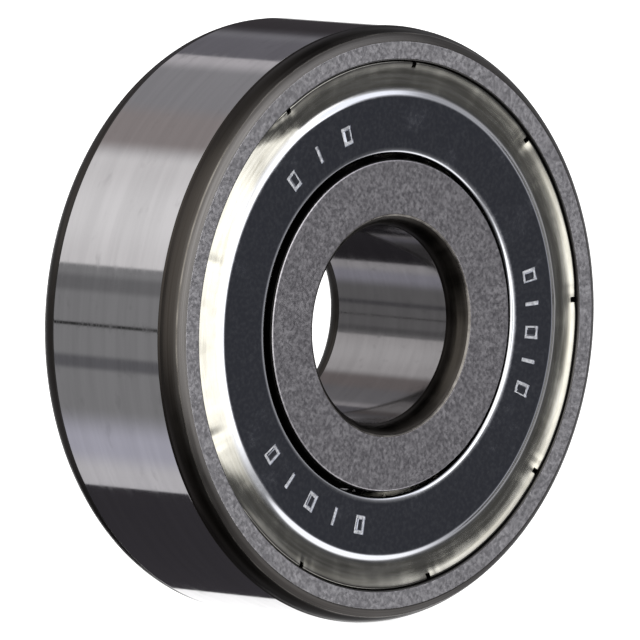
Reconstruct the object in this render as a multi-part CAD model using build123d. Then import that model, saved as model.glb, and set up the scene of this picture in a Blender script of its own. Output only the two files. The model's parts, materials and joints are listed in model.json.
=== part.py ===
from build123d import *
import math
import os

# A sealed-for-life deep-groove ball bearing in the 3/8 x 1-1/8 x 3/8 inch size, in millimetres.
# The origin is the bearing's centre. The axis of rotation is Y, and the marked shield faces -Y.

# Boundary sizes
BORE_R = 9.525 / 2
OUTER_R = 28.575 / 2
WIDTH = 9.525
FACE_Y = -WIDTH / 2

# Balls and the circle that their centres lie on
BALL_COUNT = 7
BALL_R = 4.7625 / 2
PITCH_R = 9.525
BALL_GAP = 0.02
INNER_GROOVE_R = 0.52 * 2 * BALL_R
OUTER_GROOVE_R = 0.53 * 2 * BALL_R

# Inner ring
INNER_LAND_R = 7.95
INNER_LAND_BREAK = 0.12
BORE_CORNER_AXIAL = 1.1
BORE_CORNER_RADIAL = 0.58
BORE_CORNER_BULGE = 0.14

# Outer ring, with a recess at each side that holds a shield
OUTER_LAND_R = 11.08
OUTER_LAND_BREAK = 0.15
OUTER_CORNER_AXIAL = 1.2
OUTER_CORNER_RADIAL = 0.7
OUTER_CORNER_BULGE = 0.185
SEAT_Y = FACE_Y + 1.14
SEAT_R = 12.90
SEAT_WALL = 0.30
SEAT_SLOPE = 0.13
SEAT_PLAY = 0.02
LIP_R = 12.68
LIP_BREAK = 0.05

# Shields, pressed from thin sheet: a flat plate, a step down to a valley, a hem that rises to a
# crest beside the outer ring's lip, and a leg with a foot that is crimped into the recess
SHEET = 0.28
PLATE_Y = FACE_Y + 0.11 + SHEET / 2
PLATE_INNER_R = 8.20
PLATE_EDGE_R = 10.98
STEP_BEND = 0.28
STEP_DEG = 36
STEP_RUN = 0.14
VALLEY_BEND = 0.45
RISE_BEND = 3.0
RISE_START_DEG = 12
RISE_END_DEG = 24
CREST_BEND = 0.18
FOOT_BEND = 0.16
SLIT_COUNT = 9
SLIT_WIDTH = 0.26
SLIT_INNER_R = 12.22
SLIT_START_DEG = 2.2

# Rows of plain marks stamped in the front shield, open frames and bars in turn: the first and last
# angle of each row, and how many marks it has
MARK_ROWS = ((107, 131, 3), (216, 258, 5), (338, 371, 5))
MARK_R = 9.62
MARK_LENGTH = 0.90
MARK_STROKE = 0.19
FRAME_WIDTH = 0.62
MARK_DEPTH = 0.05

# Ribbon cage: two pressed halves, riveted together through the flats between their pockets
CAGE_SHEET = 0.40
CAGE_INNER_R = 8.55
CAGE_OUTER_R = 10.50
POCKET_CLEARANCE = 0.10
RIVET_R = 0.40
RIVET_HEAD_R = 0.68
RIVET_HEAD_HEIGHT = 0.34

CUTTER = 2 * OUTER_R


def corner_arc(start, end, bulge):
    """A shallow outward arc between two points of a profile, for a turned corner."""
    chord = Vector(*end) - Vector(*start)
    outward = Vector(chord.Y, -chord.X).normalized()
    middle = (Vector(*start) + Vector(*end)) / 2 + outward * bulge
    return ThreePointArc(start, middle, end)


def raceway_arc(bottom_r, land_r, groove_r, centre_r):
    """The front half of a ball groove: an arc from its bottom at mid-width to the edge of its land."""
    reach = abs(land_r - centre_r)
    half_width = math.sqrt(groove_r**2 - reach**2)
    half_turn = math.atan2(half_width, reach) / 2
    side = 1 if bottom_r > centre_r else -1
    middle = (centre_r + side * groove_r * math.cos(half_turn), -groove_r * math.sin(half_turn))
    return ThreePointArc((bottom_r, 0), middle, (land_r, -half_width)), half_width


def turned(front_half):
    """Turn a ring from the front half of its profile, which starts and ends at mid-width."""
    return revolve(make_face(front_half + mirror(front_half, Plane.XZ)), Axis.Y)


def around(count, start_deg=0):
    """Evenly spaced angles about the bearing's axis, in degrees from +X towards +Z."""
    return [start_deg + 360 / count * i for i in range(count)]


def placed(angle_deg, shape):
    """Carry a shape made on the +X side round the bearing's axis, from +X towards +Z."""
    return Rot(0, -angle_deg, 0) * shape


def outer_ring():
    bottom_r = PITCH_R + BALL_R + BALL_GAP
    groove, half_width = raceway_arc(bottom_r, OUTER_LAND_R, OUTER_GROOVE_R, bottom_r - OUTER_GROOVE_R)
    inside = Polyline(
        (OUTER_LAND_R, -half_width),
        (OUTER_LAND_R, SEAT_Y + OUTER_LAND_BREAK),
        (OUTER_LAND_R + OUTER_LAND_BREAK, SEAT_Y),
        (SEAT_R, SEAT_Y),
        (SEAT_R, SEAT_Y - SEAT_WALL),
        (LIP_R, SEAT_Y - SEAT_WALL - SEAT_SLOPE),
        (LIP_R, FACE_Y + LIP_BREAK),
        (LIP_R + LIP_BREAK, FACE_Y),
        (OUTER_R - OUTER_CORNER_RADIAL, FACE_Y),
    )
    corner_end = (OUTER_R, FACE_Y + OUTER_CORNER_AXIAL)
    corner = corner_arc((OUTER_R - OUTER_CORNER_RADIAL, FACE_Y), corner_end, OUTER_CORNER_BULGE)
    outside = Line(corner_end, (OUTER_R, 0))
    return turned(groove + inside + corner + outside)


def inner_ring():
    bottom_r = PITCH_R - BALL_R - BALL_GAP
    groove, half_width = raceway_arc(bottom_r, INNER_LAND_R, INNER_GROOVE_R, bottom_r + INNER_GROOVE_R)
    face = Polyline(
        (INNER_LAND_R, -half_width),
        (INNER_LAND_R, FACE_Y + INNER_LAND_BREAK),
        (INNER_LAND_R - INNER_LAND_BREAK, FACE_Y),
        (BORE_R + BORE_CORNER_RADIAL, FACE_Y),
    )
    corner_start = (BORE_R, FACE_Y + BORE_CORNER_AXIAL)
    corner = corner_arc(corner_start, (BORE_R + BORE_CORNER_RADIAL, FACE_Y), BORE_CORNER_BULGE)
    bore = Line(corner_start, (BORE_R, 0))
    return turned(groove + face + corner + bore)


def sheet_line():
    """The middle line of a shield's sheet, from the inner edge of its plate to the tip of its foot."""
    foot_y = SEAT_Y - SHEET / 2
    plate = Line((PLATE_INNER_R + SHEET / 2, PLATE_Y), (PLATE_EDGE_R, PLATE_Y))
    bend = JernArc(plate @ 1, plate % 1, STEP_BEND, STEP_DEG)
    step = PolarLine(bend @ 1, STEP_RUN, direction=bend % 1)
    valley = JernArc(step @ 1, step % 1, VALLEY_BEND, -STEP_DEG - RISE_START_DEG)
    rise = JernArc(valley @ 1, valley % 1, RISE_BEND, RISE_START_DEG - RISE_END_DEG)
    crest = JernArc(rise @ 1, rise % 1, CREST_BEND, 90 + RISE_END_DEG)
    leg = Line(crest @ 1, ((crest @ 1).X, foot_y - FOOT_BEND))
    ankle = JernArc(leg @ 1, leg % 1, FOOT_BEND, -90)
    foot = Line(ankle @ 1, (SEAT_R - SEAT_PLAY - SHEET / 2, foot_y))
    return plate + bend + step + valley + rise + crest + leg + ankle + foot


def plain_shield():
    """The front shield without marks. Its foot stands on the seat of the outer ring's recess."""
    shield = revolve(make_face(offset(sheet_line(), SHEET / 2, side=Side.BOTH)), Axis.Y)
    slit = Box(OUTER_R - SLIT_INNER_R, WIDTH, SLIT_WIDTH, align=(Align.MIN, Align.CENTER, Align.CENTER))
    for angle in around(SLIT_COUNT, SLIT_START_DEG):
        shield -= placed(angle, Pos(SLIT_INNER_R, 0, 0) * slit)
    return shield


def front_shield():
    """The shield with three rows of plain marks stamped in its plate."""
    shield = plain_shield()
    depth = 2 * MARK_DEPTH
    bar = Box(MARK_LENGTH, depth, MARK_STROKE)
    hollow = Box(MARK_LENGTH - 2 * MARK_STROKE, depth, FRAME_WIDTH - 2 * MARK_STROKE)
    frame = Box(MARK_LENGTH, depth, FRAME_WIDTH) - hollow
    for first, last, count in MARK_ROWS:
        for i in range(count):
            mark = bar if i % 2 else frame
            angle = first + (last - first) * i / (count - 1)
            shield -= placed(angle, Pos(MARK_R, PLATE_Y - SHEET / 2, 0) * mark)
    return shield


def cage_half():
    """The front half of the cage: pockets round the balls, and flats between them with rivet holes."""
    pocket_r = BALL_R + POCKET_CLEARANCE
    depth = pocket_r + CAGE_SHEET
    ring = Cylinder(CAGE_OUTER_R, depth) - Cylinder(CAGE_INNER_R, depth)
    band = Pos(0, -depth / 2, 0) * Rot(90, 0, 0) * ring
    flats = Pos(0, -CAGE_SHEET / 2, 0) * Rot(90, 0, 0) * Cylinder(OUTER_R, CAGE_SHEET)
    body = flats
    for angle in around(BALL_COUNT, 90):
        body += placed(angle, Pos(PITCH_R, 0, 0) * Sphere(pocket_r + CAGE_SHEET))
    half = body & band
    hole = Rot(90, 0, 0) * Cylinder(RIVET_R, WIDTH)
    for angle in around(BALL_COUNT, 90):
        half -= placed(angle, Pos(PITCH_R, 0, 0) * Sphere(pocket_r))
        half -= placed(angle + 180 / BALL_COUNT, Pos(PITCH_R, 0, 0) * hole)
    return half


def rivet():
    """A round-headed rivet on the Y axis, closed on both sides of the cage's two sheets."""
    dome_r = (RIVET_HEAD_R**2 + RIVET_HEAD_HEIGHT**2) / (2 * RIVET_HEAD_HEIGHT)
    half_turn = math.asin(RIVET_HEAD_R / dome_r) / 2
    top_y = -CAGE_SHEET - RIVET_HEAD_HEIGHT
    middle = (dome_r * math.sin(half_turn), top_y + dome_r * (1 - math.cos(half_turn)))
    dome = ThreePointArc((0, top_y), middle, (RIVET_HEAD_R, -CAGE_SHEET))
    shank = Polyline((RIVET_HEAD_R, -CAGE_SHEET), (RIVET_R, -CAGE_SHEET), (RIVET_R, 0))
    axis = Line((0, top_y), (0, -top_y))
    half = dome + shank
    return revolve(make_face(half + mirror(half, Plane.XZ) + axis), Axis.Y)


def bearing():
    """Every piece of the bearing, by name."""
    front_half = cage_half()
    pieces = {
        "outer_ring": outer_ring(),
        "inner_ring": inner_ring(),
        "front_shield": front_shield(),
        "back_shield": mirror(plain_shield(), Plane.XZ),
        "cage_front": front_half,
        "cage_back": Rot(0, 0, 180) * front_half,
    }
    ball = Pos(PITCH_R, 0, 0) * Sphere(BALL_R)
    one_rivet = Pos(PITCH_R, 0, 0) * rivet()
    for i, angle in enumerate(around(BALL_COUNT, 90), start=1):
        pieces[f"ball_{i}"] = placed(angle, ball)
        pieces[f"rivet_{i}"] = placed(angle + 180 / BALL_COUNT, one_rivet)
    return pieces


os.makedirs("parts", exist_ok=True)
for name, shape in bearing().items():
    export_step(shape, f"parts/{name}.step")
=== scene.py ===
import json
import math

import bpy
import numpy as np
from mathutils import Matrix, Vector


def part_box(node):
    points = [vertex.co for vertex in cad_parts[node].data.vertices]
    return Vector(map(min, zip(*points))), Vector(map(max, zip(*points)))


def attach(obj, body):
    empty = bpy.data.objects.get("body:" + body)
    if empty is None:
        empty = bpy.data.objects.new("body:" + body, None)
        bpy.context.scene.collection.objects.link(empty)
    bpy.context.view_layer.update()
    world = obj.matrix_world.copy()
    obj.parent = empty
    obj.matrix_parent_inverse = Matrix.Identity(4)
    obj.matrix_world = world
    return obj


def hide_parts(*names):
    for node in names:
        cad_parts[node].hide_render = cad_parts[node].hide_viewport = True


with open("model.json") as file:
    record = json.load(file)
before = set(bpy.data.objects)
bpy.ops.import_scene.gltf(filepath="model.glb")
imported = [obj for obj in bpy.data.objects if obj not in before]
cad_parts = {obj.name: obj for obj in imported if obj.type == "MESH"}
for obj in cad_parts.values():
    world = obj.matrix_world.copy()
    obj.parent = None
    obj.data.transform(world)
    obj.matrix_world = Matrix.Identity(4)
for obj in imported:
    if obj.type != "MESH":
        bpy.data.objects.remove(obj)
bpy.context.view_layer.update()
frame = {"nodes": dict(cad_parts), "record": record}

# A shielded ball bearing. Its axis of rotation is Y, its centre is the origin, and its marked
# shield faces -Y. Outlines are in millimetres, as (radius, place along the axis).
MM = 0.001

OUTER_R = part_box("outer_ring")[1].x / MM
FACE_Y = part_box("outer_ring")[0].y / MM
BORE_R = next(m["dims"]["r_mm"] for m in frame["record"]["mounts"] if m["name"] == "bore")
INNER_LAND_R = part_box("inner_ring")[1].x / MM
FOOT_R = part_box("front_shield")[1].x / MM
SHIELD_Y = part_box("front_shield")[0].y / MM
FOOT_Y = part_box("front_shield")[1].y / MM
BALL_R = (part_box("ball_1")[1].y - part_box("ball_1")[0].y) / 2 / MM
PITCH_R = (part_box("ball_1")[1].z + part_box("ball_1")[0].z) / 2 / MM

# Sizes that no CAD box gives. One groove radius, between the CAD's two, serves both rings.
LIP_R = 12.68
OUTER_LAND_R = 11.08
GROOVE_R = 0.525 * 2 * BALL_R
BALL_GAP = 0.02
SEAT_PLAY = 0.02
SHEET = 0.28


# ---------------------------------------------------------------- meshes

RING_STEPS = 600
RING_SHARP_DEG = 35


def arc_points(start, end, bulge, steps):
    """Points after start along an arc to end. A positive bulge stands to the right of the way there."""
    a = Vector(start)
    b = Vector(end)
    half = (b - a).length / 2
    if abs(bulge) < 1e-6:
        return [tuple(a.lerp(b, (i + 1) / steps)) for i in range(steps)]
    radius = (half**2 + bulge**2) / (2 * abs(bulge))
    right = Vector(((b - a).y, -(b - a).x)).normalized() * math.copysign(1, bulge)
    centre = (a + b) / 2 + right * (abs(bulge) - radius)
    first = math.atan2(a.y - centre.y, a.x - centre.x)
    last = math.atan2(b.y - centre.y, b.x - centre.x)
    turn = (last - first + math.pi) % (2 * math.pi) - math.pi
    angles = [first + turn * (i + 1) / steps for i in range(steps)]
    return [(centre.x + radius * math.cos(t), centre.y + radius * math.sin(t)) for t in angles]


class Outline:
    """A line drawn stretch by stretch, with the number of a finish for each stretch."""

    def __init__(self, start):
        self.points = [start]
        self.finishes = []

    def line(self, end, finish, steps=1):
        return self.arc(end, 0, finish, steps)

    def arc(self, end, bulge, finish, steps=6):
        self.points += arc_points(self.points[-1], end, bulge, steps)
        self.finishes += [finish] * steps
        return self

    def mirrored(self):
        """This line, then its mirror image on the far side, as a closed loop."""
        far = [(r, -y) for r, y in reversed(self.points[1:-1])]
        return self.points + far, self.finishes + self.finishes[::-1]


def new_object(name, vertices, faces, finishes, materials, sharp_deg):
    """A smooth mesh with edges sharper than sharp_deg kept sharp. finishes has one number a face."""
    mesh = bpy.data.meshes.new(name)
    mesh.from_pydata(vertices, [], faces)
    for material in materials:
        mesh.materials.append(material)
    mesh.polygons.foreach_set("material_index", finishes)
    mesh.polygons.foreach_set("use_smooth", [True] * len(faces))
    mesh.set_sharp_from_angle(angle=math.radians(sharp_deg))
    mesh.update()
    mesh.validate()
    obj = bpy.data.objects.new(name, mesh)
    bpy.context.scene.collection.objects.link(obj)
    return obj


def turned(name, loop, finishes, materials):
    """A ring turned from a closed loop, which runs so that its outward side is on the right."""
    count = len(loop)
    finishes = np.tile(finishes, RING_STEPS).tolist()
    angles = np.arange(RING_STEPS) * 2 * math.pi / RING_STEPS
    outline = np.array(loop)
    r = outline[None, :, 0]
    x = r * np.cos(angles)[:, None]
    z = r * np.sin(angles)[:, None]
    y = np.broadcast_to(outline[None, :, 1], x.shape)
    vertices = np.stack([x, y, z], -1).reshape(-1, 3) * MM
    k = np.repeat(np.arange(RING_STEPS), count)
    i = np.tile(np.arange(count), RING_STEPS)
    k2 = (k + 1) % RING_STEPS
    i2 = (i + 1) % count
    faces = np.stack([k * count + i, k * count + i2, k2 * count + i2, k2 * count + i], -1)
    return new_object(name, vertices.tolist(), faces.tolist(), finishes, materials, RING_SHARP_DEG)


# ---------------------------------------------------------------- shader nodes

# The radius, in millimetres, at which grain's rate round the axis holds
GRAIN_R = 10


class Graph:
    """Short names for the shader nodes that the finishes below are made of."""

    def __init__(self, tree):
        self.tree = tree
        self.tree.nodes.clear()

    def node(self, kind, **settings):
        made = self.tree.nodes.new(kind)
        for key, value in settings.items():
            setattr(made, key, value)
        return made

    def put(self, socket, value):
        if isinstance(value, bpy.types.NodeSocket):
            self.tree.links.new(value, socket)
        else:
            socket.default_value = value

    def math(self, operation, *values):
        made = self.node("ShaderNodeMath", operation=operation)
        for socket, value in zip(made.inputs, values):
            self.put(socket, value)
        return made.outputs[0]

    def fade(self, value, low, high, start=0.0, end=1.0):
        """start below low, end above high, and a smooth step between."""
        made = self.node("ShaderNodeMapRange", interpolation_type="SMOOTHSTEP")
        self.put(made.inputs["Value"], value)
        self.put(made.inputs["From Min"], low)
        self.put(made.inputs["From Max"], high)
        self.put(made.inputs["To Min"], start)
        self.put(made.inputs["To Max"], end)
        return made.outputs[0]

    def mix(self, share, a, b):
        """Colour a where share is 0, colour b where it is 1."""
        made = self.node("ShaderNodeMix", data_type="RGBA")
        self.put(made.inputs[0], share)
        self.put(made.inputs[6], a if isinstance(a, bpy.types.NodeSocket) else (*a, 1))
        self.put(made.inputs[7], b if isinstance(b, bpy.types.NodeSocket) else (*b, 1))
        return made.outputs[2]

    def place(self):
        """A point of the object in millimetres, as x, y, z."""
        split = self.node("ShaderNodeSeparateXYZ")
        self.put(split.inputs[0], self.node("ShaderNodeTexCoord").outputs["Object"])
        return [self.math("DIVIDE", out, MM) for out in split.outputs]

    def polar(self):
        """Radius from the Y axis and place along it in millimetres, and the cosine and sine round it."""
        x, y, z = self.place()
        r = self.math("SQRT", self.math("ADD", self.math("MULTIPLY", x, x), self.math("MULTIPLY", z, z)))
        return r, y, self.math("DIVIDE", x, r), self.math("DIVIDE", z, r)

    def vector(self, x, y, z):
        made = self.node("ShaderNodeCombineXYZ")
        for socket, value in zip(made.inputs, (x, y, z)):
            self.put(socket, value)
        return made.outputs[0]

    def noise(self, vector, detail, roughness=0.5, distortion=0.0):
        made = self.node("ShaderNodeTexNoise")
        self.put(made.inputs["Vector"], vector)
        made.inputs["Scale"].default_value = 1
        made.inputs["Detail"].default_value = detail
        made.inputs["Roughness"].default_value = roughness
        made.inputs["Distortion"].default_value = distortion
        return made.outputs[0]

    def speckle(self, rate, detail, roughness=0.5, distortion=0.0):
        """Noise with one rate, per millimetre, in every direction."""
        scaled = [self.math("MULTIPLY", v, rate) for v in self.place()]
        return self.noise(self.vector(*scaled), detail, roughness, distortion)

    def grain(self, polar, round_rate, across_rate, shift, detail):
        """Noise with its own rates, per millimetre, round the axis and across that.

        A shift gives another pattern."""
        r, y, c, s = polar
        across = self.math("ADD", self.math("ADD", r, y), shift)
        scaled = [self.math("MULTIPLY", v, GRAIN_R * round_rate) for v in (c, s)]
        return self.noise(self.vector(*scaled, self.math("MULTIPLY", across, across_rate)), detail)

    def bump(self, height, depth_mm):
        made = self.node("ShaderNodeBump")
        made.inputs["Strength"].default_value = 1
        made.inputs["Distance"].default_value = depth_mm * MM
        self.put(made.inputs["Height"], height)
        return made.outputs[0]

    def metal(self, colour, roughness, normal):
        """A metal surface, put out as the material."""
        shader = self.node("ShaderNodeBsdfPrincipled")
        shader.inputs["Metallic"].default_value = 1
        self.put(shader.inputs["Base Color"], colour)
        self.put(shader.inputs["Roughness"], roughness)
        self.put(shader.inputs["Normal"], normal)
        self.put(self.node("ShaderNodeOutputMaterial").inputs[0], shader.outputs[0])


# Radii where the shield's finish changes, each from and to: its rolled inner lip, the step down from
# its plate, the start of its worked hem, and the fold beside the outer ring. The lip and the step have
# a painted highlight, and the fold painted shade
LIP_FADE = (8.42, 8.56)
STEP_FADE = (10.88, 11.04)
HEM_FADE = (11.15, 11.5)
FOLD_FADE = (12.40, 12.60)

# The outer corner is painted lightest on this side, where the light falls, in degrees from +X towards +Z,
# and painted shade darkens it away from this side and towards the ground surface over these radii
LIT_SIDE_DEG = 145
RIM_SHADE_FADE = (13.80, 14.15)
# The colour of the painted shade on the turned corners
PAINTED_CORNER_SHADE = (0.020, 0.016, 0.013)


def material(name):
    made = bpy.data.materials.new(name)
    made.use_nodes = True
    return made, Graph(made.node_tree)


def ground_steel(name, line_rate, light, dull):
    """Fine ground steel: lines that run round the axis, and a few stray marks."""
    made, g = material(name)
    polar = g.polar()
    fine = g.grain(polar, 0.35, line_rate, 0, 3)
    broad = g.grain(polar, 0.15, 1.6, 7, 2)
    spots = g.grain(polar, 1.3, 1.6, 21, 3)
    dark = [0.9 * v for v in light]
    tint = g.mix(g.fade(broad, 0.3, 0.7), dark, light)
    tint = g.mix(g.fade(spots, 0.60, 0.78, 0, 0.35), tint, [0.66 * v for v in light])
    rough = g.fade(fine, 0.3, 0.7, dull, dull + 0.04)
    rough = g.math("ADD", rough, g.fade(spots, 0.45, 0.8, 0, 0.05))
    g.metal(tint, rough, g.bump(fine, 0.00008))
    return made


def turned_corner(name, dark, light, painted_side_shade):
    """A turned corner that was never ground: brown-grey, with rings left by the tool.

    The last argument is how strongly painted shade darkens it away from its lit side."""
    made, g = material(name)
    polar = g.polar()
    rings = g.grain(polar, 0.10, 9, 3, 3)
    patches = g.grain(polar, 0.55, 1.1, 11, 4)
    tint = g.mix(g.fade(rings, 0.3, 0.7), dark, light)
    tint = g.mix(g.fade(patches, 0.35, 0.7, 0, 0.6), tint, light)
    r, _, c, s = polar
    # Painted shade: darker away from the lit side, and darker towards the ground surface
    lit_c = g.math("MULTIPLY", c, math.cos(math.radians(LIT_SIDE_DEG)))
    lit_s = g.math("MULTIPLY", s, math.sin(math.radians(LIT_SIDE_DEG)))
    tint = g.mix(g.fade(g.math("ADD", lit_c, lit_s), 0.2, 0.8, painted_side_shade, 0), tint, PAINTED_CORNER_SHADE)
    tint = g.mix(g.fade(r, *RIM_SHADE_FADE, 0, 0.8), tint, PAINTED_CORNER_SHADE)
    rough = g.fade(patches, 0.3, 0.7, 0.30, 0.42)
    g.metal(tint, rough, g.bump(rings, 0.0015))
    return made


def matte_face(name, dark, light):
    """A ring's side face: finely ground in crossing arcs, which scatter the light."""
    made, g = material(name)
    polar = g.polar()
    x, _, z = g.place()
    rising = g.math("ADD", x, z)
    falling = g.math("SUBTRACT", x, z)
    one = g.noise(g.vector(g.math("MULTIPLY", rising, 5.0), 0, g.math("MULTIPLY", falling, 1.6)), 3)
    two = g.noise(g.vector(g.math("MULTIPLY", falling, 5.0), 9, g.math("MULTIPLY", rising, 1.6)), 3)
    spokes = g.grain(polar, 2.6, 1.6, 5, 3)
    pits = g.speckle(5.5, 3, 0.6)
    clouds = g.speckle(1.3, 4, 0.6)
    weave = g.math("ADD", g.math("MULTIPLY", one, 0.5), g.math("MULTIPLY", two, 0.5))
    height = g.math("ADD", weave, g.math("MULTIPLY", g.math("ADD", spokes, pits), 0.6))
    tint = g.mix(g.fade(height, 0.90, 1.30), dark, light)
    tint = g.mix(g.fade(clouds, 0.35, 0.7, 0, 0.5), tint, dark)
    rough = g.fade(pits, 0.3, 0.7, 0.33, 0.43)
    g.metal(tint, rough, g.bump(height, 0.0016))
    return made


def shaded_recess(name, dark, light):
    """Turned steel inside a recess, painted dark for the shade that falls there."""
    made, g = material(name)
    polar = g.polar()
    rings = g.grain(polar, 0.2, 12, 1, 3)
    tint = g.mix(g.fade(rings, 0.3, 0.7), dark, light)
    g.metal(tint, g.fade(rings, 0.3, 0.7, 0.28, 0.4), g.bump(rings, 0.001))
    return made


def polished_track(name):
    """A honed raceway or its land."""
    made, g = material(name)
    polar = g.polar()
    fine = g.grain(polar, 0.2, 40, 2, 3)
    worn = g.grain(polar, 0.5, 0.8, 13, 3)
    tint = g.mix(g.fade(worn, 0.3, 0.7), (0.56, 0.55, 0.56), (0.62, 0.61, 0.61))
    g.metal(tint, g.fade(fine, 0.3, 0.7, 0.06, 0.11), g.bump(fine, 0.0002))
    return made


def bright_edge(name):
    """The thin edge where a ground side face meets a turned corner, rubbed bright."""
    made, g = material(name)
    polar = g.polar()
    nicks = g.grain(polar, 0.8, 2.0, 17, 4)
    tint = g.mix(g.fade(nicks, 0.35, 0.65), (0.12, 0.11, 0.10), (0.24, 0.225, 0.205))
    g.metal(tint, g.fade(nicks, 0.3, 0.7, 0.24, 0.34), g.bump(nicks, 0.001))
    return made


def shield_sheet(name):
    """Bright rolled sheet. Its plate is smooth and dark; its worked hem is warmer and duller."""
    made, g = material(name)
    polar = g.polar()
    r = polar[0]
    hem = g.fade(r, *HEM_FADE)
    specks = g.grain(polar, 5.0, 5.0, 3, 3)
    drawn = g.grain(polar, 0.35, 6, 9, 3)
    puckers = g.grain(polar, 1.6, 0.7, 15, 3)
    plate = g.mix(g.fade(specks, 0.35, 0.7), (0.37, 0.385, 0.44), (0.46, 0.475, 0.52))
    worked = g.mix(g.fade(drawn, 0.3, 0.7), (0.66, 0.635, 0.545), (0.77, 0.75, 0.665))
    stains = g.grain(polar, 0.45, 3.5, 41, 4)
    worked = g.mix(g.fade(stains, 0.50, 0.70, 0, 0.30), worked, (0.34, 0.32, 0.26))
    # Painted shade at the fold beside the outer ring
    worked = g.mix(g.fade(r, *FOLD_FADE), worked, (0.30, 0.29, 0.26))
    # Painted highlight: the rolled lip and the step down from the plate are painted pale
    rubbed = g.math("MAXIMUM", g.fade(r, *LIP_FADE, 1, 0), g.fade(r, *STEP_FADE))
    tint = g.mix(rubbed, plate, (0.72, 0.73, 0.76))
    tint = g.mix(hem, tint, worked)
    hem_rough = g.math("ADD", g.fade(drawn, 0.3, 0.7, 0.13, 0.20), g.fade(puckers, 0.4, 0.7, 0, 0.06))
    smudges = g.fade(g.grain(polar, 0.55, 0.6, 51, 4), 0.50, 0.72, 0, 0.10)
    plate_rough = g.math("ADD", g.fade(specks, 0.4, 0.75, 0.10, 0.16), smudges)
    plate_rough = g.math("MULTIPLY", g.math("SUBTRACT", 1, hem), plate_rough)
    rough = g.math("ADD", g.math("MULTIPLY", hem, hem_rough), plate_rough)
    height = g.math("ADD", g.math("MULTIPLY", specks, 0.25), g.math("MULTIPLY", hem, puckers))
    g.metal(tint, rough, g.bump(height, 0.002))
    return made


def struck_metal(name):
    """The floor of a stamped mark: crushed and bright."""
    made, g = material(name)
    polar = g.polar()
    grit = g.grain(polar, 6.0, 6.0, 31, 3)
    tint = g.mix(g.fade(grit, 0.35, 0.65), (0.74, 0.75, 0.78), (0.92, 0.93, 0.95))
    g.metal(tint, g.fade(grit, 0.3, 0.7, 0.45, 0.62), g.bump(grit, 0.012))
    return made


def cage_sheet(name):
    """Pressed steel strip, faintly yellow, with wiped oil."""
    made, g = material(name)
    x, y, z = g.place()
    stretched = g.vector(g.math("MULTIPLY", x, 2), g.math("MULTIPLY", y, 9), g.math("MULTIPLY", z, 2))
    rolled = g.noise(stretched, 4)
    oil = g.speckle(0.9, 3)
    tint = g.mix(g.fade(rolled, 0.3, 0.7), (0.50, 0.48, 0.43), (0.62, 0.60, 0.55))
    tint = g.mix(g.fade(oil, 0.4, 0.7, 0, 0.4), tint, (0.40, 0.36, 0.28))
    g.metal(tint, g.fade(oil, 0.3, 0.7, 0.20, 0.34), g.bump(rolled, 0.003))
    return made


def rivet_head(name):
    """Upset soft steel with die marks."""
    made, g = material(name)
    die = g.speckle(6, 4)
    tint = g.mix(g.fade(die, 0.3, 0.7), (0.44, 0.43, 0.42), (0.62, 0.61, 0.60))
    g.metal(tint, g.fade(die, 0.3, 0.7, 0.25, 0.40), g.bump(die, 0.006))
    return made


def lapped_ball(name):
    """Lapped bearing steel with hair-fine random marks."""
    made, g = material(name)
    haze = g.speckle(3, 5, 0.6, 1.5)
    tint = g.mix(g.fade(haze, 0.3, 0.7), (0.60, 0.59, 0.60), (0.66, 0.65, 0.66))
    g.metal(tint, g.fade(haze, 0.35, 0.7, 0.04, 0.09), g.bump(haze, 0.0002))
    return made


# ---------------------------------------------------------------- rings

# The number of each finish in a ring's list
GROUND, CORNER, EDGE, FACE, RECESS, TRACK = range(6)

# The turned corners' lengths along the axis, the recess's straight wall and the slope up to its lip, and
# the breaks of the smaller edges
OUTER_CORNER = 1.20
BORE_CORNER = 1.10
SEAT_WALL = 0.30
SEAT_SLOPE = 0.13
LAND_BREAK = 0.15
FACE_BREAK = 0.12
LIP_BREAK = 0.07


def groove(bottom_r, land_r, groove_r):
    """Half the width of a ball groove at its land, and how far its arc bulges over the front half.

    Known fault: the bulge has the wrong sign. Both rings' grooves are humps, and every ball cuts about
    0.4 mm into them, hidden by the shields. The repair is to return minus this bulge.
    """
    centre_r = bottom_r + math.copysign(groove_r, PITCH_R - bottom_r)
    half_width = math.sqrt(groove_r**2 - (land_r - centre_r) ** 2)
    reach = math.hypot(land_r - bottom_r, half_width) / 2
    return half_width, groove_r - math.sqrt(groove_r**2 - reach**2)


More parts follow.
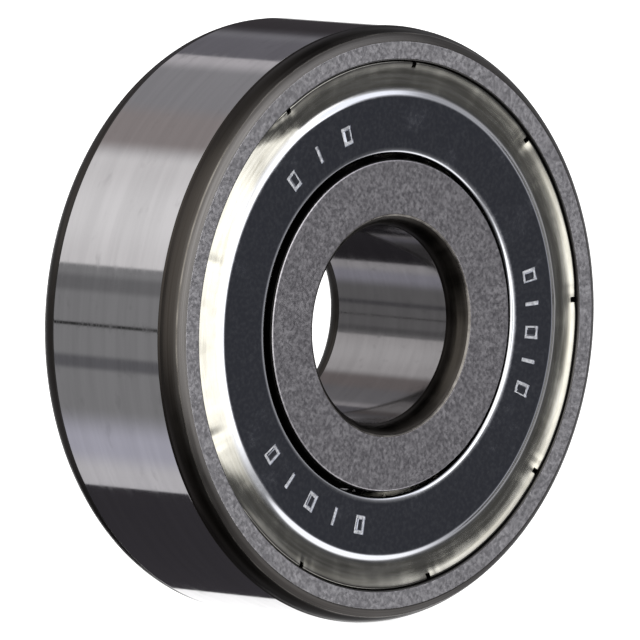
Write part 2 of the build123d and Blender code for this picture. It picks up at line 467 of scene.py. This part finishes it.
def outer_ring(finishes):
    """From the bottom of the groove out over the recess and the face to the ground outside."""
    bottom_r = PITCH_R + BALL_R + BALL_GAP
    seat_r = FOOT_R + SEAT_PLAY
    half_width, bulge = groove(bottom_r, OUTER_LAND_R, GROOVE_R)
    line = Outline((bottom_r, 0))
    line.arc((OUTER_LAND_R, -half_width), bulge, TRACK, 16)
    line.line((OUTER_LAND_R, FOOT_Y + LAND_BREAK), TRACK)
    line.arc((OUTER_LAND_R + LAND_BREAK, FOOT_Y), -0.03, TRACK, 3)
    line.line((seat_r, FOOT_Y), RECESS)
    line.line((seat_r, FOOT_Y - SEAT_WALL), RECESS)
    line.line((LIP_R, FOOT_Y - SEAT_WALL - SEAT_SLOPE), RECESS)
    line.line((LIP_R, FACE_Y + LIP_BREAK), RECESS, 2)
    line.arc((LIP_R + LIP_BREAK, FACE_Y), 0.02, RECESS, 4)
    # The face has a narrow first and last band, which keep its shading flat
    line.line((LIP_R + 0.11, FACE_Y), FACE)
    line.line((OUTER_R - 0.77, FACE_Y), FACE, 2)
    line.line((OUTER_R - 0.73, FACE_Y), FACE)
    # The corner is a shallow arc, a rubbed edge, a steep arc and its run-out
    line.arc((OUTER_R - 0.35, FACE_Y + 0.23), 0.018, CORNER, 6)
    line.arc((OUTER_R - 0.31, FACE_Y + 0.285), 0.010, EDGE, 3)
    line.arc((OUTER_R - 0.03, FACE_Y + 1.10), 0.085, CORNER, 12)
    line.arc((OUTER_R, FACE_Y + OUTER_CORNER), 0.006, CORNER, 3)
    line.line((OUTER_R, FACE_Y + OUTER_CORNER + 0.03), GROUND)
    line.line((OUTER_R, 0), GROUND, 3)
    return turned("outer_ring_body", *line.mirrored(), finishes)


def inner_ring(finishes):
    """From the middle of the bore out over the corner, the face and the land to the groove."""
    bottom_r = PITCH_R - BALL_R - BALL_GAP
    half_width, bulge = groove(bottom_r, INNER_LAND_R, GROOVE_R)
    line = Outline((BORE_R, 0))
    line.line((BORE_R, FACE_Y + BORE_CORNER + 0.03), GROUND, 3)
    line.line((BORE_R, FACE_Y + BORE_CORNER), GROUND)
    # The corner is a run-out, a steep arc, a shallow arc and a rubbed edge
    line.arc((BORE_R + 0.02, FACE_Y + 1.0), 0.004, CORNER, 3)
    line.arc((BORE_R + 0.25, FACE_Y + 0.28), 0.065, CORNER, 10)
    line.arc((BORE_R + 0.47, FACE_Y + 0.075), 0.018, CORNER, 5)
    line.arc((BORE_R + 0.58, FACE_Y), 0.012, EDGE, 3)
    line.line((BORE_R + 0.64, FACE_Y), FACE)
    line.line((INNER_LAND_R - 0.16, FACE_Y), FACE, 3)
    line.line((INNER_LAND_R - FACE_BREAK, FACE_Y), FACE)
    line.arc((INNER_LAND_R - 0.05, FACE_Y + 0.03), 0.010, FACE, 3)
    line.arc((INNER_LAND_R, FACE_Y + FACE_BREAK), 0.012, RECESS, 4)
    line.line((INNER_LAND_R, -half_width), RECESS, 2)
    line.arc((bottom_r, 0), bulge, TRACK, 16)
    return turned("inner_ring_body", *line.mirrored(), finishes)


# ---------------------------------------------------------------- shields

# The plate's inner edge and the width of its rolled lip, the plate's outer edge, and the outer flank of
# the fold. The fold and the ankle are tight, and the sheet is thinned at the fold.
PLATE_R = 8.20
LIP_WIDTH = 0.40
PLATE_EDGE_R = 10.85
FLANK_R = 12.635
FOLD_BEND = 0.08
ANKLE_BEND = 0.04
FOLD_SHEET = 0.075
TIP_STEPS = 5
SHIELD_SHARP_DEG = 50

# How the sheet runs from the plate to its fold: (radius, degrees, steps) for a bend towards the inside,
# or (length, 0, steps). The hem dips and rises again; the slope runs down all the way.
HEM = ((0.36, 31, 5), (0.10, 0, 1), (0.50, -34, 8), (3.0, -18, 6), (FOLD_BEND, 111, 9))
SLOPE = ((0.34, 24, 5), (0.06, 0, 1), (3.0, -3, 8), (0.95, 0, 6), (FOLD_BEND, 69, 9))

# Where the front shield's hem was pressed down to the slope, in degrees. Outwards from FLAT_FROM_R, over
# FLAT_REACH, its first and last end move by FLAT_SLANT, and they fade over FLAT_SOFT.
FLAT_SPAN = (116, 226)
FLAT_SLANT = (12, -10)
FLAT_SOFT = (13, 22)
FLAT_FROM_R = 11.2
FLAT_REACH = 1.3

# The hem's unevenness, which grows over the first millimetre from UNEVEN_FROM_R and stops short of the
# foot: an even push inwards, waves of (number round, height, phase), and creases beside each slit of
# (depth, degrees from its middle, width in degrees)
UNEVEN_FROM_R = 11.3
UNEVEN_ABOVE_FOOT = 0.45
EVEN_PUSH = 0.012
WAVES = ((5, 0.012, 1.0), (9, 0.010, 2.6), (23, 0.006, 0.0))
CREASES = ((0.05, 0.0, 1.5), (0.02, 2.6, 0.7))

# Rows of stamped marks: the first and last angle of each row, and how many marks it has. The walls of a
# mark are thin, and the mesh has close rows and columns there.
MARK_ROWS = ((107, 131, 3), (216, 258, 5), (338, 371, 5))
MARK_R = 9.62
MARK_LENGTH = 0.90
MARK_STROKE = 0.19
FRAME_WIDTH = 0.62
MARK_DEPTH = 0.05
MARK_WALL = 0.014
ROW_GAP = 0.02
COLUMN_GAP_DEG = 0.08

# The slits go from SLIT_R out to the foot's tip
SLIT_COUNT = 9
SLIT_START_DEG = 2.2
SLIT_WIDTH = 0.26
SLIT_R = 12.22

# The step between columns of the mesh, away from slits and marks
COLUMN_STEP_DEG = 0.6


def walk(start, heading_deg, moves):
    """Points along a line that turns. A move is (length, 0, steps) or (radius, degrees, steps)."""
    x, y = start
    heading = math.radians(heading_deg)
    points = [(x, y)]
    for size, turn_deg, steps in moves:
        turn = math.radians(turn_deg) / steps
        stride = size / steps if not turn_deg else 2 * size * math.sin(abs(turn) / 2)
        for _ in range(steps):
            x += stride * math.cos(heading + turn / 2)
            y += stride * math.sin(heading + turn / 2)
            heading += turn
            points.append((x, y))
    return points


def sheet_front(moves):
    """The sheet's front surface from the plate's edge to the foot's tip, through the fold."""
    head = walk((PLATE_EDGE_R, SHIELD_Y), 0, moves)
    stretch = (FLANK_R - PLATE_EDGE_R) / (head[-1][0] - PLATE_EDGE_R)
    head = [(PLATE_EDGE_R + (r - PLATE_EDGE_R) * stretch, y) for r, y in head]
    leg_end = FOOT_Y - SHEET - ANKLE_BEND
    top = head[-1][1]
    leg = [(FLANK_R, top + (leg_end - top) * i / 4) for i in (1, 2, 3, 4)]
    foot_length = FOOT_R - SHEET / 2 - FLANK_R - ANKLE_BEND
    foot = walk(leg[-1], 90, [(ANKLE_BEND, -90, 4), (foot_length, 0, 1)])
    return np.array(head + leg + foot[1:])


def wall_columns(centre_deg, half_deg):
    """Angles at the bottom and the top of a mark's two side walls."""
    return [centre_deg + side * (half_deg - gap) for side in (-1, 1) for gap in (COLUMN_GAP_DEG, 0)]


def slit_angles():
    return [math.radians(SLIT_START_DEG + 360 / SLIT_COUNT * k) for k in range(SLIT_COUNT)]


def turn_from(centre, angles):
    """How far angles are from centre, in radians from -pi to pi."""
    return (angles - centre + math.pi) % (2 * math.pi) - math.pi


def marks():
    """Each stamped mark: its angle in degrees, and whether it is an open frame or a bar."""
    for first, last, count in MARK_ROWS:
        for i in range(count):
            yield first + (last - first) * i / (count - 1), i % 2 == 0


def column_angles(marked):
    """Angles for the shield's mesh, with close pairs at the walls of slits and marks."""
    special = []
    half = SLIT_WIDTH / 2 / SLIT_R
    for centre in slit_angles():
        special += [math.degrees(centre - half), math.degrees(centre + half)]
    if marked:
        for centre, is_frame in marks():
            halves = [FRAME_WIDTH / 2, FRAME_WIDTH / 2 - MARK_STROKE] if is_frame else [MARK_STROKE / 2]
            for half in halves:
                special += wall_columns(centre, math.degrees(half / MARK_R))
    special = [a % 360 for a in special]
    nearest = COLUMN_STEP_DEG / 5
    even = np.arange(0, 360, COLUMN_STEP_DEG)
    far = [a for a in even if all(abs((a - b + 180) % 360 - 180) > nearest for b in special)]
    return np.radians(np.array(sorted(far + special)))


def plate_radii(marked):
    """Radii for the flat plate's mesh, with close pairs at the walls of marks.

    The rows at each side of the marks keep the plate's shading flat."""
    radii = [PLATE_R + LIP_WIDTH, 8.8]
    if marked:
        half = MARK_LENGTH / 2
        for edge, side in ((-half, 1), (-half + MARK_STROKE, -1), (half - MARK_STROKE, 1), (half, -1)):
            radii += [MARK_R + edge, MARK_R + edge + side * ROW_GAP]
    return sorted(radii) + [10.4, 10.8]


def inside(value, half):
    """1 well inside +-half, 0 outside it, and a mark's straight wall between."""
    return np.clip((half - np.abs(value)) / MARK_WALL, 0, 1)


def mark_depth(r, angle):
    """How deep the stamped marks are at a place on the plate, from 0 to 1."""
    depth = np.zeros(np.broadcast(r, angle).shape)
    half = MARK_LENGTH / 2
    along = r - MARK_R
    for centre, is_frame in marks():
        across = turn_from(math.radians(centre), angle) * MARK_R
        mark = inside(along, half) * inside(across, (FRAME_WIDTH if is_frame else MARK_STROKE) / 2)
        if is_frame:
            hollow = inside(along, half - MARK_STROKE + MARK_WALL)
            hollow = hollow * inside(across, FRAME_WIDTH / 2 - MARK_STROKE + MARK_WALL)
            mark = mark * (1 - hollow)
        depth = np.maximum(depth, mark)
    return depth


def pressed_share(angles, radii, flat_span):
    """How far the hem is pressed down to the slope, from 0 to 1, at each angle and radius."""
    if flat_span is None:
        return np.zeros((len(angles), len(radii)))
    out = np.clip((radii - FLAT_FROM_R) / FLAT_REACH, 0, 1)
    start = np.radians(flat_span[0] + FLAT_SLANT[0] * out)
    end = np.radians(flat_span[1] + FLAT_SLANT[1] * out)
    rise = np.clip((angles[:, None] - start) / math.radians(FLAT_SOFT[0]) + 0.5, 0, 1)
    fall = np.clip((end - angles[:, None]) / math.radians(FLAT_SOFT[1]) + 0.5, 0, 1)
    share = rise * fall
    return share * share * (3 - 2 * share)


def unevenness(angles):
    """How far the hem is pushed inwards at each angle, in millimetres."""
    push = np.full(len(angles), EVEN_PUSH)
    for number, height, phase in WAVES:
        push += height * np.sin(number * angles + phase)
    for slit in slit_angles():
        off = turn_from(slit, angles)
        for depth, aside, width in CREASES:
            push += depth * np.exp(-(((off - math.radians(aside)) / math.radians(width)) ** 2))
    return push


def hem_surface(angles, flat_span):
    """The front surface beyond the plate at each angle, out to the foot's tip."""
    hem = sheet_front(HEM)
    share = pressed_share(angles, hem[:, 0], flat_span)[:, :, None]
    surface = hem[None] * (1 - share) + sheet_front(SLOPE)[None] * share
    worked = np.clip(surface[:, :, 0] - UNEVEN_FROM_R, 0, 1) * (hem[None, :, 1] < FOOT_Y - UNEVEN_ABOVE_FOOT)
    surface[:, :, 1] += worked * unevenness(angles)[:, None]
    return surface


def sheet_thickness(count, plate_count):
    """The sheet's thickness at each point of its front surface. It thins towards the fold."""
    fold_first = plate_count + sum(steps for _, _, steps in HEM[:-1])
    fold_last = fold_first + HEM[-1][2]
    points = np.arange(count)
    off_fold = np.maximum(fold_first - points, points - fold_last).clip(0, 3) / 3
    return FOLD_SHEET + (SHEET - FOLD_SHEET) * off_fold


def rolled_lip():
    """The plate's inner edge, from its front surface round to its back."""
    lip = arc_points((PLATE_R + LIP_WIDTH, SHIELD_Y), (PLATE_R + 0.13, SHIELD_Y + 0.055), -0.006, 4)
    lip += arc_points(lip[-1], (PLATE_R, SHIELD_Y + 0.235), -0.033, 5)
    return np.array(lip + [(PLATE_R + 0.03, SHIELD_Y + SHEET)])


def foot_tip(ends, normals, tangents):
    """Points round the half circle that ends the foot, at each angle."""
    points = []
    for i in range(TIP_STEPS):
        turn = math.pi * (i + 1) / (TIP_STEPS + 1)
        way = math.cos(turn) * normals + math.sin(turn) * tangents
        points.append(ends - normals * SHEET / 2 + SHEET / 2 * way)
    return np.stack(points, 1)


def gaps_in_slits(angles):
    """Whether the gap after each angle of the mesh lies in a slit."""
    middles = angles + ((np.roll(angles, -1) - angles) % (2 * math.pi)) / 2
    pitch = 2 * math.pi / SLIT_COUNT
    off = (middles - math.radians(SLIT_START_DEG) + pitch / 2) % pitch - pitch / 2
    return np.abs(off) < SLIT_WIDTH / 2 / SLIT_R + 1e-6


def shield_faces(angles, size, count, cut_from, struck):
    """A shield's faces and the finish of each, 1 on the floor of a mark.

    Each angle has size points in a loop: count on the front, from the plate outwards, TIP_STEPS round
    the foot's tip, count on the back, inwards, and the lip. The point behind front point i is
    last_back - i. The slits go from front point cut_from outwards."""
    faces = []
    kinds = []
    in_slit = gaps_in_slits(angles)
    last_back = 2 * count + TIP_STEPS - 1
    for k in range(len(angles)):
        k2 = (k + 1) % len(angles)
        a = k * size
        b = k2 * size
        for i in range(size):
            if in_slit[k] and cut_from <= i < last_back - cut_from:
                continue
            i2 = (i + 1) % size
            deep = i < count - 1 and (struck[k, i] and struck[k, i2] and struck[k2, i] and struck[k2, i2])
            faces.append((a + i, a + i2, b + i2, b + i))
            kinds.append(1 if deep else 0)
        if not in_slit[k]:
            continue
        for start, way, beside in ((a, 1, k - 1), (b, -1, k2)):
            if in_slit[beside]:
                continue
            back = start + last_back
            for i in range(cut_from, count - 1):
                wall = (start + i, back - i, back - i - 1, start + i + 1)
                faces.append(wall[::way])
                kinds.append(0)
            rim = tuple(start + count - 1 + i for i in range(TIP_STEPS + 2))
            faces.append(rim[::-way])
            kinds.append(0)
        back = last_back - cut_from
        faces.append((a + cut_from, b + cut_from, b + back, a + back))
        kinds.append(0)
    return faces, kinds


def shield(name, side, marked, finishes, flat_span):
    """A pressed shield. side is 1 for the front one and -1 for the back one.

    Its hem waves a little and is creased beside each slit, and over flat_span it was pressed down."""
    angles = column_angles(marked)
    plate = np.array([(r, SHIELD_Y) for r in plate_radii(marked)])
    plate_everywhere = np.broadcast_to(plate[None], (len(angles), *plate.shape))
    surface = np.concatenate([plate_everywhere, hem_surface(angles, flat_span)], 1)
    count = surface.shape[1]
    tangents = np.gradient(surface, axis=1)
    tangents /= np.linalg.norm(tangents, axis=2, keepdims=True)
    normals = np.stack([tangents[:, :, 1], -tangents[:, :, 0]], -1)
    back = surface - normals * sheet_thickness(count, len(plate))[None, :, None]
    tip = foot_tip(surface[:, -1], normals[:, -1], tangents[:, -1])
    front = surface.copy()
    depth = np.zeros(front.shape[:2])
    if marked:
        depth = mark_depth(front[:, :, 0], angles[:, None]) * (np.arange(count)[None] < len(plate))
    front[:, :, 1] += depth * MARK_DEPTH
    lip = rolled_lip()[None, ::-1]
    lip = np.broadcast_to(lip, (len(angles), *lip.shape[1:]))
    loop = np.concatenate([front, tip, back[:, ::-1], lip], 1)
    x = loop[:, :, 0] * np.cos(angles)[:, None]
    z = loop[:, :, 0] * np.sin(angles)[:, None]
    vertices = np.stack([x, loop[:, :, 1] * side, z], -1).reshape(-1, 3) * MM
    cut_from = len(plate) + int(np.argmax(sheet_front(HEM)[:, 0] > SLIT_R))
    faces, kinds = shield_faces(angles, loop.shape[1], count, cut_from, depth > 0.5)
    if side < 0:
        faces = [corners[::-1] for corners in faces]
    return new_object(name, vertices.tolist(), faces, kinds, finishes, SHIELD_SHARP_DEG)


# ---------------------------------------------------------------- light, floor and camera

# Soft boxes and black flags round the bearing, later ones over earlier ones. Each is: centre azimuth,
# centre elevation, half width, half height, softness of its edge, all in degrees, and its light.
# Azimuth 0 is in front of the marked face and -90 to its left, as for the camera.
CARDS = (
    ("fill on the right", 95, 5, 55, 60, 25, (0.42, 0.42, 0.44)),
    ("dark ceiling on the right", 105, 64, 50, 26, 10, (0.07, 0.07, 0.075)),
    ("dark floor on the left", -75, -58, 60, 36, 10, (0.05, 0.05, 0.05)),
    ("dark floor below", 0, -90, 180, 20, 6, (0.05, 0.05, 0.05)),
    ("left of the camera", -75, 26, 50, 36, 12, (1.50, 1.47, 1.42)),
    ("key, in front", -6, 8, 24, 30, 7, (2.1, 2.1, 2.12)),
    ("gap for the lens in the key", 0, -3, 9, 9, 6, (0.62, 0.62, 0.63)),
    ("top of the key", 14, 30, 24, 16, 5, (2.3, 2.3, 2.35)),
    ("box over the front", 38, 36, 25, 9, 6, (1.25, 1.27, 1.35)),
    ("pale table in front", 50, -45, 41, 12, 5, (1.35, 1.35, 1.38)),
    ("flag before the plate", 46, -6, 20, 22, 8, (0.070, 0.071, 0.077)),
    ("backdrop", 136, -14, 24, 20, 3, (1.3, 1.3, 1.3)),
)

# Strips behind the bearing, which give its ground surfaces their bands. Each is a wedge about its axis:
# first and last angle from +X towards +Z, the softness of its two ends, and its light.
STRIPS = (
    ("dark wall over the backdrop", 3, 36, 4, 5, (0.046, 0.042, 0.046)),
    ("dim ceiling", 34, 58, 9, 1, (0.175, 0.170, 0.19)),
    ("lit ceiling", 58, 113, 1, 5, (0.33, 0.325, 0.34)),
    ("warm end of the ceiling", 92, 113, 5, 5, (0.36, 0.325, 0.32)),
    ("tube at the ceiling's edge", 57.5, 65, 1, 4, (0.58, 0.56, 0.58)),
    ("upper left box", 112, 160, 5, 0.7, (0.90, 0.885, 0.885)),
    ("middle of the upper left box", 128, 150, 8, 8, (1.0, 0.99, 0.99)),
    ("left wall", 160, 222, 1, 7, (0.29, 0.29, 0.295)),
    ("frame of the box", 164, 170, 1.5, 1.5, (0.20, 0.20, 0.205)),
    ("cord on the wall", 182.3, 183.5, 0.3, 0.3, (0.03, 0.03, 0.03)),
    ("shelf on the wall", 195, 200, 1.2, 1.2, (0.15, 0.15, 0.16)),
    ("lower left box", 222, 249.8, 7, 0.4, (0.56, 0.56, 0.64)),
    ("bright end of the lower left box", 238, 249.8, 5, 0.4, (0.72, 0.71, 0.73)),
    ("dark table", 249.8, 314.5, 0.4, 0.7, (0.045, 0.042, 0.048)),
)


# Where the strips fade in and out, by how squarely a direction points along +Y
STRIPS_FROM = (0.45, 0.6)
STRIPS_TO = (0.86, 0.95)


def light_room():
    """The studio as a world: a grey room with the boxes and strips laid over it, seen only as light.

    The camera itself sees plain white."""
    world = bpy.data.worlds.new("studio")
    bpy.context.scene.world = world
    world.use_nodes = True
    g = Graph(world.node_tree)
    split = g.node("ShaderNodeSeparateXYZ")
    g.put(split.inputs[0], g.node("ShaderNodeTexCoord").outputs["Generated"])
    x, y, z = split.outputs
    degrees = 180 / math.pi
    azimuth = g.math("MULTIPLY", g.math("ARCTAN2", x, g.math("MULTIPLY", y, -1)), degrees)
    elevation = g.math("MULTIPLY", g.math("ARCSINE", z), degrees)
    round_y = g.math("MULTIPLY", g.math("ARCTAN2", z, x), degrees)
    light = g.mix(g.fade(elevation, -30, 60), (0.30, 0.30, 0.31), (0.36, 0.36, 0.37))
    for _, az, el, wide, high, soft, colour in CARDS:
        across = g.math("ABSOLUTE", g.math("WRAP", g.math("SUBTRACT", azimuth, az), 180.0, -180.0))
        up = g.math("ABSOLUTE", g.math("SUBTRACT", elevation, el))
        across_share = g.fade(across, wide - soft, wide + soft, 1, 0)
        up_share = g.fade(up, high - soft, high + soft, 1, 0)
        light = g.mix(g.math("MULTIPLY", across_share, up_share), light, colour)
    behind = g.math("MULTIPLY", g.fade(y, *STRIPS_FROM), g.fade(y, *STRIPS_TO, 1, 0))
    for _, first, last, soft_first, soft_last, colour in STRIPS:
        half = (last - first) / 2
        off = g.math("WRAP", g.math("SUBTRACT", round_y, (first + last) / 2), 180.0, -180.0)
        after_first = g.fade(off, -half - soft_first, -half + soft_first)
        before_last = g.fade(off, half - soft_last, half + soft_last, 1, 0)
        share = g.math("MULTIPLY", after_first, before_last)
        light = g.mix(g.math("MULTIPLY", share, behind), light, colour)
    light = g.mix(g.node("ShaderNodeLightPath").outputs["Is Camera Ray"], light, (1.0, 1.0, 1.0))
    background = g.node("ShaderNodeBackground")
    g.put(background.inputs["Color"], light)
    g.put(g.node("ShaderNodeOutputWorld").inputs[0], background.outputs[0])


# In metres
FLOOR_RADIUS = 4
CAMERA_DISTANCE = 0.8

FLOOR_GLOW = 0.92
CAMERA_AZIMUTH_DEG = -44.315
CAMERA_ELEVATION_DEG = 5.04
CAMERA_SHIFT = (-0.0024, -0.0011)
LENS_MM = 940


def pale_floor():
    """A pale table under the bearing that gives light of its own, and so stays near white.

    It is clear from below, and neither shows in the metal nor shades it."""
    made, g = material("pale_table")
    weave = g.speckle(0.8, 3)
    diffuse = g.node("ShaderNodeBsdfDiffuse")
    g.put(diffuse.inputs["Color"], g.mix(weave, (0.86, 0.86, 0.86), (0.90, 0.90, 0.90)))
    glow = g.node("ShaderNodeEmission")
    glow.inputs["Color"].default_value = (1, 1, 1, 1)
    glow.inputs["Strength"].default_value = FLOOR_GLOW
    both = g.node("ShaderNodeAddShader")
    g.put(both.inputs[0], diffuse.outputs[0])
    g.put(both.inputs[1], glow.outputs[0])
    clear = g.node("ShaderNodeBsdfTransparent")
    pick = g.node("ShaderNodeMixShader")
    g.put(pick.inputs[0], g.node("ShaderNodeNewGeometry").outputs["Backfacing"])
    g.put(pick.inputs[1], both.outputs[0])
    g.put(pick.inputs[2], clear.outputs[0])
    g.put(g.node("ShaderNodeOutputMaterial").inputs[0], pick.outputs[0])
    under = (0, 0, -OUTER_R * MM)
    bpy.ops.mesh.primitive_circle_add(vertices=96, radius=FLOOR_RADIUS, fill_type="NGON", location=under)
    floor = bpy.context.object
    floor.name = "floor"
    floor.data.materials.append(made)
    floor.visible_glossy = False
    floor.visible_shadow = False


def camera():
    """A long lens at the photograph's angle: from the left of the marked face and a little above."""
    azimuth = math.radians(CAMERA_AZIMUTH_DEG)
    elevation = math.radians(CAMERA_ELEVATION_DEG)
    level = math.cos(elevation)
    away = Vector((math.sin(azimuth) * level, -math.cos(azimuth) * level, math.sin(elevation)))
    data = bpy.data.cameras.new("camera")
    data.lens = LENS_MM
    data.shift_x, data.shift_y = CAMERA_SHIFT
    data.clip_start = 0.05
    data.clip_end = 50
    cam = bpy.data.objects.new("camera", data)
    cam.location = away * CAMERA_DISTANCE
    cam.rotation_mode = "QUATERNION"
    cam.rotation_quaternion = (-away).to_track_quat("-Z", "Y")
    bpy.context.scene.collection.objects.link(cam)
    bpy.context.scene.camera = cam


# ---------------------------------------------------------------- the bearing

def stand_for(obj, node, body):
    """Let a piece ride on a body in the place of a CAD node."""
    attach(obj, body)
    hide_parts(node)


# The finishes of each ring, in the order of GROUND, CORNER, EDGE, FACE, RECESS and TRACK
ring_finishes = [
    ground_steel("ground_steel", 14, (0.60, 0.59, 0.60), 0.03),
    # The outer corner's last number is how strong its painted shade is away from the lit side
    turned_corner("outer_corner", (0.10, 0.093, 0.088), (0.17, 0.162, 0.155), 0.55),
    bright_edge("bright_edge"),
    matte_face("outer_face", (0.57, 0.555, 0.575), (0.87, 0.85, 0.87)),
    # Painted shade: the outer ring's recess wall is painted nearly black
    shaded_recess("recess_wall_painted_shade", (0.05, 0.048, 0.047), (0.11, 0.107, 0.105)),
    polished_track("polished_track"),
]
inner_ring_finishes = [
    # Painted shade: the bore is painted darker than the outer ring's ground surface, and its corner nearly
    # black
    ground_steel("honed_bore", 14, (0.30, 0.29, 0.295), 0.09),
    turned_corner("bore_corner", (0.016, 0.014, 0.012), (0.050, 0.045, 0.040), 0),
    bright_edge("bore_edge"),
    matte_face("inner_face", (0.38, 0.365, 0.385), (0.61, 0.59, 0.61)),
    # Painted shade: the land in the gap beside the shield is painted nearly black
    shaded_recess("land_painted_shade", (0.008, 0.008, 0.008), (0.022, 0.021, 0.020)),
    ring_finishes[TRACK],
]
shield_finishes = [shield_sheet("shield_sheet"), struck_metal("struck_metal")]

stand_for(outer_ring(ring_finishes), "outer_ring", "outer")
stand_for(inner_ring(inner_ring_finishes), "inner_ring", "inner")
front_shield = shield("front_shield_sheet", 1, True, shield_finishes, FLAT_SPAN)
stand_for(front_shield, "front_shield", "outer")
back_shield = shield("back_shield_sheet", -1, False, shield_finishes, None)
stand_for(back_shield, "back_shield", "outer")

# The cage, the rivets and the balls stay as the CAD has them
CAD_FINISHES = {
    "cage": ("cage_steel", cage_sheet("cage_sheet")),
    "rivet": ("rivet_steel", rivet_head("rivet_head")),
    "ball": ("ball_steel", lapped_ball("lapped_ball")),
}
for node_name, node in frame["nodes"].items():
    kind = node_name.split("_")[0]
    if kind in CAD_FINISHES:
        slot_name, finish = CAD_FINISHES[kind]
        node.data.materials.clear()
        node.data.materials.append(finish)

light_room()
pale_floor()
camera()
bpy.context.scene.view_settings.view_transform = "Standard"
